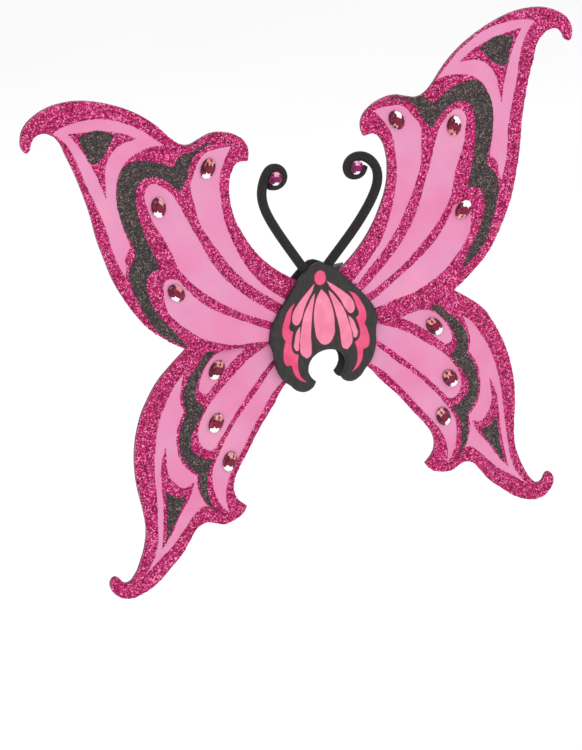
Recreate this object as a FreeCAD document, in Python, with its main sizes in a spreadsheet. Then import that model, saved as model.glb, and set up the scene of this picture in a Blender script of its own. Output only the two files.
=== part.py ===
import FreeCAD, Part
import math
import os

import Sketcher
from FreeCAD import Placement, Rotation, Vector

# Fairy wings, worn on the back. +Z is up, the decorated faces look along -Y, and the wearer's
# back is at +Y. The origin is the middle of the back cover's wearer-side face. Every layer lies
# in a plane parallel to XZ, and the layers stack from the back cover (y = 0) towards -Y:
# back cover, inner board, lower wing sheet, upper wing sheet, body plate.

DIMENSIONS = [
    ("cover_thickness", 3.0, "felt back cover"),
    ("board_thickness", 2.0, "stiff board inside the body"),
    ("sheet_thickness", 4.5, "die-cut foam of each wing sheet"),
    ("plate_thickness", 6.0, "foam body plate"),
    ("fold_x", 67.0, "distance of each wing's fold line from the middle"),
    ("fold_gap", 4.0, "width of foam that bends at the fold line"),
    ("fold_top", 140.0, "height where the fold lines end, below the inner lobes"),
    ("sheet_reach", 400.0, "a distance past either wing tip"),
    ("wire_diameter", 2.0, "steel wire along the back of each wing"),
    ("tape_width", 12.0, "felt strip over each wing wire"),
    ("tape_thickness", 2.7, "felt strip over each wing wire"),
    ("wire_lift", 0.3, "felt between a wing wire and the foam"),
    ("sleeve_diameter", 10.6, "foam sleeve of an antenna"),
    ("antenna_wire_diameter", 2.4, "wire inside an antenna"),
    ("bend_height", 73.0, "height of the point where an antenna bends"),
    ("bend_clearance", 4.0, "free length of wire each side of that point"),
    ("base_length", 14.0, "length of sleeve held inside the body"),
    ("yoke_drop", 23.0, "depth of the yoke wire below that point"),
    ("gem_width", 16.5, "oval wing gem"),
    ("gem_length", 23.0, "oval wing gem"),
    ("gem_height", 5.0, "oval wing gem"),
    ("antenna_gem_diameter", 15.5, "round antenna gem"),
    ("antenna_gem_sink", 0.1, "how far its rim sits below the sleeve's crest"),
    ("girdle_height", 1.2, "straight rim of every gem"),
    ("table_ratio", 0.52, "flat top of a gem compared with its rim"),
    ("strap_width", 12.0, "elastic band"),
    ("strap_thickness", 1.5, "elastic band"),
    ("strap_x", 30.0, "distance of each strap's ends from the middle"),
    ("strap_splay", 20.0, "degrees that each loop turns outwards"),
    ("stitch_length", 9.0, "bar of stitching across a strap's end"),
    ("stitch_width", 1.2, "bar of stitching"),
    ("stitch_height", 0.4, "bar of stitching"),
    ("stitch_pitch", 8.0, "distance between the two bars of one strap end"),
]

SIDES = {"left": -1, "right": 1}

# Half outlines on the +X side, as runs of (x, z) points. A run is one smooth curve, and two runs
# meet in a corner. The first and last runs of a symmetric piece cross the middle line.
PLATE_OUTLINE = [
    [(0, 70), (12, 65), (24, 55.5), (34, 43.5), (44, 31), (54, 18), (61, 5), (64, -8)],
    [(64, -8), (60.5, -21), (59.5, -35), (56, -47), (50, -57), (44.5, -62)],
    [(44.5, -62), (37, -70), (27, -73), (18, -69.5), (14.5, -64)],
    [(14.5, -64), (20, -57), (22, -49), (18.5, -39), (10, -32.5), (0, -30.5)],
]
BOARD_OUTLINE = [
    [(0, 46), (18, 44)],
    [(18, 44), (40, 22), (54, 0), (54, -20), (48, -44), (40, -56)],
    [(40, -56), (30, -56)],
    [(30, -56), (28, -42), (22, -30), (12, -24), (0, -22)],
]
UPPER_OUTLINE = [
    [(0, 41), (12, 43), (22, 52)],
    [(22, 52), (48, 73), (67, 95), (79, 116), (88, 138), (91.5, 160), (91, 175), (87, 190),
     (79, 199), (67, 199)],
    [(67, 199), (65, 209), (68, 220), (77, 229), (90, 235), (106, 237), (120, 233), (131, 230),
     (141, 233), (151, 242), (161, 254), (174, 267), (190, 279), (208, 289), (230, 298),
     (250, 303), (266, 304), (283, 302), (300, 295), (311, 285), (315, 274),
     (314.5, 264.5), (310.5, 260), (306, 263)],
    [(306, 263), (304, 269), (299, 275), (292, 277), (282, 273), (274, 264), (268, 247),
     (262, 230), (255, 205), (249, 178), (245, 151), (239, 126), (232, 101), (222, 78),
     (210, 56), (197, 38), (183, 25), (168, 13), (156, 5)],
    [(156, 5), (135, -1), (110, -5), (66, -10), (40, -13), (18, -8), (0, -4)],
]
LOWER_OUTLINE = [
    [(0, 5), (40, 9), (90, 17), (130, 19), (150, 14), (158, 2)],
    [(158, 2), (175, -11), (191, -26), (205, -49), (215, -72), (222, -97), (225, -125),
     (224, -150), (221, -173), (220, -194), (223, -212), (230, -231), (238, -246),
     (246, -253), (252, -251.5), (255.5, -246)],
    [(255.5, -246), (260, -243.5), (265, -247), (266, -256), (260, -266), (248, -271.5),
     (232, -269), (215, -260), (199, -246), (184, -231.5), (173, -216), (164, -204.5),
     (153, -200), (144, -203),
     (135, -206), (122, -204), (112, -199), (106, -191)],
    [(106, -191), (114, -183), (118.5, -174), (118, -160), (111, -146), (99, -129), (84, -107),
     (66, -85), (47, -61), (32, -52)],
    [(32, -52), (28, -34), (16, -22), (0, -18)],
]

# Antennae: the wire's line above the bend, as (x, z) corner points that arcs round off. Each one
# was curled by hand, so the two differ. The first point is the bend itself.
ANTENNA_LINES = {
    "left": [(-18.6, 73), (-25.5, 85.5), (-38, 108.5), (-48.5, 130.5), (-53, 146), (-53.3, 158),
             (-50.5, 168.5), (-46, 177.5), (-40.5, 182.8), (-33.5, 182.3), (-28, 177),
             (-27, 170.5), (-31, 164.5), (-39, 162.8)],
    "right": [(25, 73), (48, 95.5), (63, 113), (74, 128.5), (80.5, 142), (81.7, 155),
              (77.5, 165.8), (69.5, 173.8), (60, 176.8), (51.5, 174.3), (46.8, 167.8),
              (47.5, 160.5), (53, 156), (60, 156.3), (64.5, 160.5)],
}
ANTENNA_GEM_CENTRES = {"left": (-37.8, 172.8), "right": (55.6, 165.8)}

# Wing gems: name, sheet, centre (x, z) on the left and on the right, and how far the top of the
# oval leans outwards. They follow the print, which lies askew, so the two sides differ.
WING_GEMS = [
    ("gem_upper_inner", "upper", (-113, 200.5), (105.5, 209.5), -25.0),
    ("gem_upper_outer", "upper", (-173, 170.5), (170.5, 190.5), 6.0),
    ("gem_upper_low", "upper", (-163.5, 72.5), (173.5, 94.5), 38.0),
    ("gem_lower_top", "lower", (-124.5, -27), (131, -34), -38.0),
    ("gem_lower_middle", "lower", (-131.5, -87), (143.5, -97), -32.0),
    ("gem_lower_bottom", "lower", (-120.5, -134.5), (131.5, -139.5), -18.0),
]

# Wing wires: start and end of each straight wire, (x, z).
WIRE_LINES = {"upper": ((75, 47), (226, 250)), "lower": ((74, -33), (188, -189))}

# One strap as (distance behind the cover, height) corner points: up from its upper end, out and
# down in a slack loop, and up again to its lower end.
STRAP_LINE = [(0, 28), (0, 44), (7, 52), (22, 50), (44, 41), (63, 24), (74, 0), (75, -26),
              (64, -48), (44, -60), (22, -64), (6, -62), (0, -52), (0, -30)]
STITCHED_HEIGHTS = (34.0, -38.0)

GEM_SIDES = 12
SWEEP_SHARE = 0.45

doc = FreeCAD.newDocument("fairy_wings")
sheet = doc.addObject("Spreadsheet::Sheet", "dims")
for row, (alias, value, note) in enumerate(DIMENSIONS, start=1):
    sheet.set(f"A{row}", str(value))
    sheet.setAlias(f"A{row}", alias)
    sheet.set(f"B{row}", note)
doc.recompute()

pieces = []
size = {alias: value for alias, value, note in DIMENSIONS}

# Depth of each layer's wearer-side face behind the decorated side, as sheet expressions.
COVER_FRONT = "dims.cover_thickness"
BOARD_FRONT = f"({COVER_FRONT} + dims.board_thickness)"
LOWER_FRONT = f"({BOARD_FRONT} + dims.sheet_thickness)"
UPPER_FRONT = f"({LOWER_FRONT} + dims.sheet_thickness)"
LAYER_BACK = {"lower": BOARD_FRONT, "upper": LOWER_FRONT}
LAYER_FRONT = {"lower": LOWER_FRONT, "upper": UPPER_FRONT}
ANTENNA_DEPTH = f"(({COVER_FRONT} + {UPPER_FRONT}) / 2)"


def depth(expression):
    """The value of a layer expression, in millimetres."""
    sheet.set("D1", "=" + expression.replace("dims.", ""))
    doc.recompute()
    return float(sheet.get("D1"))


def keep(piece, name):
    """Name a finished sub-part, so that it gets its own file."""
    piece.Label = name
    pieces.append(piece)
    return piece


def mirrored(run):
    """The same run on the other side of the middle line, walked the other way."""
    return [(-x, z) for x, z in reversed(run)]


def whole_outline(half):
    """Both sides of a symmetric outline, smooth where it crosses the middle line."""
    top, middle, bottom = half[0], half[1:-1], half[-1]
    runs = [mirrored(top)[:-1] + top]
    runs += middle
    runs.append(bottom[:-1] + mirrored(bottom))
    runs += [mirrored(run) for run in reversed(middle)]
    return runs


def add_outline(sketch, runs):
    """Draw each run as a curve through its points, or a line, and join the ends."""
    for run in runs:
        points = [Vector(x, z, 0) for x, z in run]
        if len(points) == 2:
            sketch.addGeometry(Part.LineSegment(*points))
        else:
            curve = Part.BSplineCurve()
            curve.interpolate(points)
            sketch.addGeometry(curve)
    for i in range(len(runs)):
        sketch.addConstraint(Sketcher.Constraint("Coincident", i, 2, (i + 1) % len(runs), 1))


def origin_plane(body, role):
    return next(f for f in body.Origin.OriginFeatures if f.Role == role)


def die_cut(name, runs, thickness, back):
    """A flat layer cut to an outline. Its thickness goes from `back` towards -Y."""
    body = doc.addObject("PartDesign::Body", name)
    sketch = body.newObject("Sketcher::SketchObject", name + "_outline")
    sketch.AttachmentSupport = [(origin_plane(body, "XZ_Plane"), "")]
    sketch.MapMode = "FlatFace"
    add_outline(sketch, runs)
    pad = body.newObject("PartDesign::Pad", name + "_pad")
    pad.Profile = sketch
    pad.setExpression("Length", thickness)
    sketch.Visibility = False
    if back:
        body.setExpression("Placement.Base.y", f"-{back}")
    doc.recompute()
    return body


def band_box(name, low_x, high_x, top_z="dims.sheet_reach"):
    """A tall box between two x values, used to part a wing sheet at its fold lines."""
    box = doc.addObject("Part::Box", name)
    box.setExpression("Length", f"({high_x}) - ({low_x})")
    box.setExpression("Width", "dims.sheet_reach")
    box.setExpression("Height", f"{top_z} + dims.sheet_reach")
    box.setExpression("Placement.Base.x", low_x)
    box.setExpression("Placement.Base.y", "-dims.sheet_reach / 2")
    box.setExpression("Placement.Base.z", "-dims.sheet_reach")
    return box


def boolean(kind, name, base, tool):
    result = doc.addObject(f"Part::{kind}", name)
    result.Base = base
    result.Tool = tool
    return result


def wing_sheet(level, half):
    """One die-cut sheet, tip to tip: a centre inside the body and a wing beyond each fold.

    The fold lines stop at fold_top, below the inner lobes, whose tips reach in past them.
    """
    fold_in = "dims.fold_x - dims.fold_gap / 2"
    fold_out = "dims.fold_x + dims.fold_gap / 2"
    blank = die_cut(level + "_blank", whole_outline(half), "dims.sheet_thickness",
                    LAYER_BACK[level])
    inner = band_box(level + "_inner_band", f"-({fold_in})", fold_in, "dims.fold_top")
    centre = boolean("Common", level + "_sheet_centre", blank, inner)
    keep(centre, level + "_sheet_centre")
    outer = band_box(level + "_fold_band", f"-({fold_out})", fold_out, "dims.fold_top")
    wings = boolean("Cut", level + "_wings", blank, outer)
    halves = {"left": ("-dims.sheet_reach", "0"), "right": ("0", "dims.sheet_reach")}
    for side, (low_x, high_x) in halves.items():
        name = f"{level}_wing_{side}"
        half_box = band_box(name + "_half", low_x, high_x)
        keep(boolean("Common", name, wings, half_box), name)


def cylinder(name, diameter, start, direction, length):
    """A Part::Cylinder from a point along a direction, with its radius bound to the sheet."""
    rod = doc.addObject("Part::Cylinder", name)
    rod.setExpression("Radius", f"dims.{diameter} / 2")
    rod.Height = length
    rod.Placement = Placement(start, Rotation(Vector(0, 0, 1), direction))
    return rod


def wing_wire(level, side):
    """A straight wire on the back of a wing, and the felt strip that covers it."""
    (x0, z0), (x1, z1) = WIRE_LINES[level]
    sign = SIDES[side]
    back_y = -depth(LAYER_BACK[level])
    wire_y = back_y + size["wire_lift"] + size["wire_diameter"] / 2
    start = Vector(sign * x0, wire_y, z0)
    along = Vector(sign * (x1 - x0), 0, z1 - z0)
    length = along.Length
    along.normalize()
    wire = cylinder(f"{level}_wire_{side}", "wire_diameter", start, along, length)
    keep(wire, f"{level}_wire_{side}")

    strip = doc.addObject("Part::Box", f"{level}_strip_{side}")
    strip.Height = length
    strip.setExpression("Length", "dims.tape_width")
    strip.setExpression("Width", "dims.tape_thickness")
    turn = Rotation(Vector(0, 1, 0), math.degrees(math.atan2(along.x, along.z)))
    corner = Vector(sign * x0, back_y, z0) - turn.multVec(Vector(size["tape_width"] / 2, 0, 0))
    strip.Placement = Placement(corner, turn)
    tape = f"{level}_wire_tape_{side}"
    keep(boolean("Cut", tape, strip, wire), tape)


def rounded_wire(points):
    """Straight runs joined by tangent arcs, each as large as its two runs allow."""
    edges = []
    last = points[0]
    for before, corner, after in zip(points, points[1:], points[2:]):
        back = before - corner
        ahead = after - corner
        reach = SWEEP_SHARE * min(back.Length, ahead.Length)
        half_turn = (math.pi - back.getAngle(ahead)) / 2
        radius = reach / math.tan(half_turn)
        start = corner + back.normalize() * reach
        end = corner + ahead.normalize() * reach
        bisector = (back + ahead).normalize()
        middle = corner + bisector * (radius / math.cos(half_turn) - radius)
        edges.append(Part.LineSegment(last, start).toShape())
        edges.append(Part.Arc(start, middle, end).toShape())
        last = end
    edges.append(Part.LineSegment(last, points[-1]).toShape())
    return Part.Wire(edges)


def sweep(name, section, points):
    """Sweep a section along a rounded line. The section already stands at its first point."""
    path = doc.addObject("Part::Feature", name + "_path")
    path.Shape = rounded_wire(points)
    body = doc.addObject("Part::Sweep", name)
    body.Sections = [section]
    body.Spine = (path, [f"Edge{i + 1}" for i in range(len(path.Shape.Edges))])
    body.Solid = True
    body.Frenet = False
    return body


def round_sweep(name, diameter, points):
    circle = doc.addObject("Part::Circle", name + "_section")
    circle.setExpression("Radius", f"dims.{diameter} / 2")
    circle.Placement = Placement(points[0], Rotation(Vector(0, 0, 1), points[1] - points[0]))
    return sweep(name, circle, points)


def antenna_points(side):
    """The bend point, the unit direction of the straight start, and the line above the bend."""
    y = -depth(ANTENNA_DEPTH)
    line = [Vector(x, y, z) for x, z in ANTENNA_LINES[side]]
    direction = (line[1] - line[0]).normalize()
    first = line[0] + direction * size["bend_clearance"]
    return line[0], direction, [first] + line[1:]


def antenna(side):
    """A foam sleeve over a wire, curled at the top. Its lowest part is held in the body."""
    bend, direction, line = antenna_points(side)
    wire = round_sweep(f"antenna_wire_{side}", "antenna_wire_diameter", line)
    keep(wire, f"antenna_wire_{side}")
    solid = round_sweep(f"sleeve_solid_{side}", "sleeve_diameter", line)
    keep(boolean("Cut", f"antenna_sleeve_{side}", solid, wire), f"antenna_sleeve_{side}")

    length = size["base_length"]
    top = bend - direction * size["bend_clearance"]
    stub = cylinder(f"base_solid_{side}", "sleeve_diameter", top, direction * -1, length)
    bore = cylinder(f"base_bore_{side}", "antenna_wire_diameter", top, direction * -1, length)
    keep(boolean("Cut", f"antenna_base_{side}", stub, bore), f"antenna_base_{side}")
    return top, direction


def antenna_yoke(ends):
    """The wire that joins the two antennae inside the body, below their bases."""
    low = size["bend_height"] - size["yoke_drop"]
    corners = []
    for top, direction in ends:
        corners.append(top - direction * ((top.z - low) / direction.z))
    points = [ends[0][0], corners[0], corners[1], ends[1][0]]
    yoke = round_sweep("antenna_yoke_wire", "antenna_wire_diameter", points)
    keep(yoke, "antenna_yoke_wire")


def oval(width, length, y):
    """A closed polygon on an ellipse in the plane at y."""
    turns = [2 * math.pi * i / GEM_SIDES for i in range(GEM_SIDES)]
    points = [Vector(width / 2 * math.cos(a), y, length / 2 * math.sin(a)) for a in turns]
    return Part.makePolygon(points + points[:1])


def gem(name, width, length, height, centre, lean):
    """A flat-backed faceted gem: a straight rim, sloping facets and a flat top."""
    rim = size["girdle_height"]
    ratio = size["table_ratio"]
    profile = [
        oval(width, length, 0),
        oval(width, length, -rim),
        oval(width * ratio, length * ratio, -height),
    ]
    stone = doc.addObject("Part::Feature", name)
    stone.Shape = Part.makeLoft(profile, True, True)
    stone.Placement = Placement(centre, Rotation(Vector(0, 1, 0), lean))
    keep(stone, name)


def gems():
    for side, sign in SIDES.items():
        for name, level, left, right, lean in WING_GEMS:
            x, z = left if side == "left" else right
            centre = Vector(x, -depth(LAYER_FRONT[level]), z)
            gem(f"{name}_{side}", size["gem_width"], size["gem_length"], size["gem_height"],
                centre, sign * lean)
        x, z = ANTENNA_GEM_CENTRES[side]
        crest = depth(ANTENNA_DEPTH) + size["sleeve_diameter"] / 2
        centre = Vector(x, -(crest - size["antenna_gem_sink"]), z)
        wide = size["antenna_gem_diameter"]
        gem(f"gem_antenna_{side}", wide, wide, size["gem_height"], centre, 0.0)


def strap(side):
    """A slack elastic loop. It leaves its upper end upwards and comes up to its lower end."""
    sign = SIDES[side]
    splay = math.radians(size["strap_splay"])
    start_y = size["strap_thickness"] / 2
    points = []
    for out, z in STRAP_LINE:
        x = sign * (size["strap_x"] + out * math.sin(splay))
        points.append(Vector(x, start_y + out * math.cos(splay), z))
    section = doc.addObject("Part::Plane", f"strap_section_{side}")
    section.setExpression("Length", "dims.strap_width")
    section.setExpression("Width", "dims.strap_thickness")
    corner = points[0] - Vector(size["strap_width"] / 2, start_y, 0)
    section.Placement = Placement(corner, Rotation())
    keep(sweep(f"strap_{side}", section, points), f"strap_{side}")


def stitching():
    """Two bars of thread across each strap end, as separate solids in one group."""
    bars = []
    for sign in SIDES.values():
        for height in STITCHED_HEIGHTS:
            for step in (-0.5, 0.5):
                bar = doc.addObject("Part::Box", "stitch_bar")
                bar.setExpression("Length", "dims.stitch_length")
                bar.setExpression("Width", "dims.stitch_height")
                bar.setExpression("Height", "dims.stitch_width")
                x = sign * size["strap_x"] - size["stitch_length"] / 2
                z = height + step * size["stitch_pitch"] - size["stitch_width"] / 2
                bar.Placement.Base = Vector(x, size["strap_thickness"], z)
                bars.append(bar)
    group = doc.addObject("Part::Compound", "strap_stitching")
    group.Links = bars
    keep(group, "strap_stitching")


def failed_objects():
    """Every object that did not rebuild, and every sub-part without a sound shape."""
    bad = [o.Name for o in doc.Objects if "Invalid" in o.State or "Error" in o.State]
    bad += [p.Label for p in pieces if p.Shape.isNull() or not p.Shape.isValid()]
    return bad


plate_runs = whole_outline(PLATE_OUTLINE)
keep(die_cut("back_cover", plate_runs, COVER_FRONT, None), "back_cover")
keep(die_cut("inner_board", whole_outline(BOARD_OUTLINE), "dims.board_thickness",
             COVER_FRONT), "inner_board")
keep(die_cut("body_plate", plate_runs, "dims.plate_thickness", UPPER_FRONT), "body_plate")
wing_sheet("upper", UPPER_OUTLINE)
wing_sheet("lower", LOWER_OUTLINE)
for level in WIRE_LINES:
    for side in SIDES:
        wing_wire(level, side)
antenna_yoke([antenna(side) for side in SIDES])
gems()
for side in SIDES:
    strap(side)
stitching()

doc.recompute()
problems = failed_objects()
if problems:
    raise SystemExit(f"these did not build: {problems}")

os.makedirs("parts", exist_ok=True)
for piece in pieces:
    piece.Shape.exportStep(f"parts/{piece.Label}.step")
    box = piece.Shape.BoundBox
    print(f"{piece.Label:26} {piece.Shape.Volume:9.0f} mm3  x {box.XMin:7.1f} {box.XMax:7.1f}"
          f"  y {box.YMin:6.1f} {box.YMax:6.1f}  z {box.ZMin:7.1f} {box.ZMax:7.1f}")
print(len(pieces), "sub-parts")
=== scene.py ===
# %% [markdown]
# # Butterfly costume wings
# The wings are worn on the back: two printed foam sheets, a puffy foam body, two wired antennae,
# ovals of foil-backed acrylic and two elastic loops. Everything here is in metres. +Z is up, the
# decorated side looks along -Y and the wearer's back is at +Y.
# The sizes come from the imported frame, so it is loaded first, and its box is kept for later.

# %% Load the frame
import math
import random

import bmesh
import bpy
from mathutils import Matrix, Vector, kdtree


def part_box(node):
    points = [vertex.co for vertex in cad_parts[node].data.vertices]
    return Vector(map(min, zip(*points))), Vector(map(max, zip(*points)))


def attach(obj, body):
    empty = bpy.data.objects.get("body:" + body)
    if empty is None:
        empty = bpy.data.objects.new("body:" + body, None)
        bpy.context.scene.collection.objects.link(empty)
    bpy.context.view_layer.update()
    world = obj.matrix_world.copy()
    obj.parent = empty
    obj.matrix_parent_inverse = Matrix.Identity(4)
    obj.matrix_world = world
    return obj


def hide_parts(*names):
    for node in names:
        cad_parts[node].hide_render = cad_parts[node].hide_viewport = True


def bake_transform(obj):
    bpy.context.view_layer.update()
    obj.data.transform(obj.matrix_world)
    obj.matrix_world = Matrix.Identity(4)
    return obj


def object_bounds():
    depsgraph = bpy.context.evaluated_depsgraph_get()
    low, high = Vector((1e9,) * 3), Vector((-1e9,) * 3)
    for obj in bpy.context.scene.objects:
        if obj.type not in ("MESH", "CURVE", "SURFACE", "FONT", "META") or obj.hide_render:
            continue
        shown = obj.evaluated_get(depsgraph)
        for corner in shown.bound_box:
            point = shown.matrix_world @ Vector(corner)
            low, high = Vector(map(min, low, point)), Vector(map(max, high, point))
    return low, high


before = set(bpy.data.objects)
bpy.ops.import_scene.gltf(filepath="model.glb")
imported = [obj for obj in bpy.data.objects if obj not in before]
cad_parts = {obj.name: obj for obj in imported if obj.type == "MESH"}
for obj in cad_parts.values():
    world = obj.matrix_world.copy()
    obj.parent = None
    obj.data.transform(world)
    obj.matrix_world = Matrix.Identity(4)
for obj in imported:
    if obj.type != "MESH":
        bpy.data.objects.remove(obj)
cad_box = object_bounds()
print("frame box", [[round(c, 4) for c in corner] for corner in cad_box])

MM = 0.001
SIDES = {"left": -1, "right": 1}
chance = random.Random(7)

# %% [markdown]
# ## The camera
# A long lens stands four metres away, to the left of the wings and above them, and its top is
# tilted a little to the right. Aiming at a point below and to the left of the body puts the wings
# where they belong in an upright picture without any lens shift.

# %% Camera
CAMERA_DISTANCE = 4.0
CAMERA_TURN = math.radians(20.94)
CAMERA_TILT = math.radians(20.01)
CAMERA_ROLL = math.radians(5.4)
BODY_POINT = Vector((0, -0.012, 0.025))

ahead = Vector((math.sin(CAMERA_TURN) * math.cos(CAMERA_TILT),
                math.cos(CAMERA_TURN) * math.cos(CAMERA_TILT), -math.sin(CAMERA_TILT)))
level_right = ahead.cross(Vector((0, 0, 1))).normalized()
level_up = level_right.cross(ahead)
right = level_right * math.cos(CAMERA_ROLL) - level_up * math.sin(CAMERA_ROLL)
up = level_right * math.sin(CAMERA_ROLL) + level_up * math.cos(CAMERA_ROLL)
eye = BODY_POINT - ahead * CAMERA_DISTANCE
aim = BODY_POINT - right * 31 * MM - up * 80 * MM

back = (eye - aim).normalized()
side = up.cross(back).normalized()
top = back.cross(side)
camera = bpy.data.objects.new("camera", bpy.data.cameras.new("camera"))
camera.matrix_world = Matrix((side, top, back)).transposed().to_4x4()
camera.location = eye
camera.data.lens = 177.8
camera.data.sensor_width = 36
camera.data.clip_end = 50
bpy.context.scene.collection.objects.link(camera)
bpy.context.scene.camera = camera
print("camera at", [round(c, 3) for c in eye])

# %% [markdown]
# ## Nodes and colours
# Two helpers serve every finish. One turns a colour chip's hex value into the linear numbers that
# the shader wants. The other adds a node, sets its options, and fills its sockets with numbers or
# links, so a finish reads as a short list of what it is made of.

# %% Colour and node helpers
def linear(chip):
    """A hex colour chip as linear red, green, blue and alpha."""
    parts = [int(chip[i:i + 2], 16) / 255 for i in (1, 3, 5)]
    return [p / 12.92 if p <= 0.04045 else ((p + 0.055) / 1.055) ** 2.4 for p in parts] + [1.0]


def add(tree, kind, sockets=None, **options):
    """Add a node, set its options, and set or link its input sockets."""
    node = tree.nodes.new(kind)
    for option, value in options.items():
        setattr(node, option, value)
    for name, value in (sockets or {}).items():
        if isinstance(value, bpy.types.NodeSocket):
            tree.links.new(value, node.inputs[name])
        else:
            node.inputs[name].default_value = value
    return node


def ramp(tree, factor, stops, interpolation="LINEAR"):
    """A colour ramp from (place, chip) stops."""
    node = add(tree, "ShaderNodeValToRGB", {"Fac": factor})
    node.color_ramp.interpolation = interpolation
    elements = node.color_ramp.elements
    while len(elements) < len(stops):
        elements.new(0.5)
    for element, (place, chip) in zip(elements, stops):
        element.position = place
        element.color = linear(chip)
    return node.outputs["Color"]


def finish_named(name, colour, **shader):
    """A new material with a Principled shader. `colour` is a chip; links are added afterwards."""
    material = bpy.data.materials.new(name)
    material.use_nodes = True
    tree = material.node_tree
    surface = tree.nodes["Principled BSDF"]
    surface.inputs["Base Color"].default_value = linear(colour)
    for socket, value in shader.items():
        surface.inputs[socket.replace("_", " ")].default_value = value
    material.diffuse_color = linear(colour)
    return material, tree, surface


def bumpy(tree, surface, height, strength, depth):
    """Raise the surface by a pattern: its strength, and its depth in metres."""
    node = add(tree, "ShaderNodeBump", {"Height": height, "Strength": strength, "Distance": depth})
    tree.links.new(node.outputs["Normal"], surface.inputs["Normal"])
    return node


print("middle pink is", [round(c, 3) for c in linear("#E085AF")])

# %% [markdown]
# ## Printed foam
# The wing sheets are EVA foam, die-cut and screen-printed. The pink ground is ink soaked into the
# foam: matt, a little uneven in thickness, so it drifts to lavender and to warm pink over a few
# centimetres, with a fine grain and a few dark specks. The patterns read a place that is stored on
# the mesh before it is bent, so the print follows the foam when a wing folds.

# %% Pink ink on EVA foam
FLAT = "flat_place"


def pink_foam():
    material, tree, surface = finish_named("printed pink EVA foam", "#E085AF", Roughness=0.62)
    place = add(tree, "ShaderNodeAttribute", attribute_name=FLAT).outputs["Vector"]
    drift = add(tree, "ShaderNodeTexNoise", {"Vector": place, "Scale": 14.0, "Detail": 3.0})
    tint = ramp(tree, drift.outputs["Fac"],
                [(0.32, "#DF7DA9"), (0.46, "#E187B1"), (0.56, "#DF8EB7"), (0.70, "#E693B5")])
    speck = add(tree, "ShaderNodeTexVoronoi", {"Vector": place, "Scale": 90.0})
    dark = add(tree, "ShaderNodeMath", {0: speck.outputs["Distance"], 1: 0.035},
               operation="LESS_THAN")
    rare = add(tree, "ShaderNodeSeparateColor", {"Color": speck.outputs["Color"]})
    few = add(tree, "ShaderNodeMath", {0: rare.outputs["Red"], 1: 0.93}, operation="GREATER_THAN")
    mark = add(tree, "ShaderNodeMath", {0: dark.outputs[0], 1: few.outputs[0]},
               operation="MULTIPLY")
    mixed = add(tree, "ShaderNodeMix", {"Factor": mark.outputs[0], 6: tint, 7: linear("#8E3864")},
                data_type="RGBA")
    tree.links.new(mixed.outputs[2], surface.inputs["Base Color"])
    # Foam cells are about 0.3 mm; they are drawn at 1.2 mm so that the grain still shows.
    grain = add(tree, "ShaderNodeTexNoise", {"Vector": place, "Scale": 850.0, "Detail": 2.0})
    bumpy(tree, surface, grain.outputs["Fac"], 0.25, 0.4 * MM)
    return material


# %% [markdown]
# ## Glitter
# Glitter is cut foil set in clear glue. Each flake lies at its own angle, so next to a bright one
# there is a dark one. Voronoi cells are the flakes: one random colour picks each flake's base
# colour from dark to near white, and that spread is painted shade and painted glint for the flake's
# angle to the light. The same random value tilts its normal, so highlights jump from flake to
# flake.

# %% Glitter finishes
# Craft glitter is 0.4 mm across; here a flake is 1.15 mm, the smallest that shows at this distance.
FLAKE = 1.15 * MM


def glitter(name, chips, metal, seed):
    """Foil flakes. `chips` run from the darkest flake, painted shade, to the brightest, a painted
    glint.
    """
    material, tree, surface = finish_named(name, chips[1][1], Roughness=0.32, Metallic=metal)
    place = add(tree, "ShaderNodeAttribute", attribute_name=FLAT).outputs["Vector"]
    moved = add(tree, "ShaderNodeMapping", {"Vector": place, "Location": (seed, 0, seed)})
    flakes = add(tree, "ShaderNodeTexVoronoi", {"Vector": moved.outputs[0], "Scale": 1 / FLAKE})
    shade = add(tree, "ShaderNodeSeparateColor", {"Color": flakes.outputs["Color"]})
    clump = add(tree, "ShaderNodeTexNoise", {"Vector": place, "Scale": 120.0, "Detail": 2.0})
    drift = add(tree, "ShaderNodeMath", {0: clump.outputs["Fac"], 1: 0.30, 2: -0.15},
                operation="MULTIPLY_ADD")
    tone = add(tree, "ShaderNodeMath", {0: shade.outputs["Red"], 1: drift.outputs[0]},
               operation="ADD")
    # The flake's base colour: its dark end is painted shade and its bright end is a painted glint.
    tree.links.new(ramp(tree, tone.outputs[0], chips), surface.inputs["Base Color"])
    # The tilt: the flake's random colour, centred on zero, is added to the surface's own normal.
    centred = add(tree, "ShaderNodeVectorMath", {0: flakes.outputs["Color"], 1: (0.5, 0.5, 0.5)},
                  operation="SUBTRACT")
    tilt = add(tree, "ShaderNodeVectorMath", {0: centred.outputs[0], "Scale": 0.85},
               operation="SCALE")
    facing = add(tree, "ShaderNodeNewGeometry")
    leaned = add(tree, "ShaderNodeVectorMath", {0: facing.outputs["Normal"], 1: tilt.outputs[0]},
                 operation="ADD")
    unit = add(tree, "ShaderNodeVectorMath", {0: leaned.outputs[0]}, operation="NORMALIZE")
    tree.links.new(unit.outputs[0], surface.inputs["Normal"])
    return material


PINK = pink_foam()
MAGENTA = glitter("magenta foil glitter in glue", [(0.0, "#520024"), (0.28, "#8C0842"),
                                                   (0.55, "#B81462"), (0.80, "#E03486"),
                                                   (0.97, "#FF96C4")], 0.65, 0.0)
BLACK = glitter("black foil glitter in glue", [(0.0, "#140E0F"), (0.40, "#281E20"),
                                               (0.70, "#403234"), (0.90, "#5E4E4C"),
                                               (1.0, "#8E7C70")], 0.3, 3.7)
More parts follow.
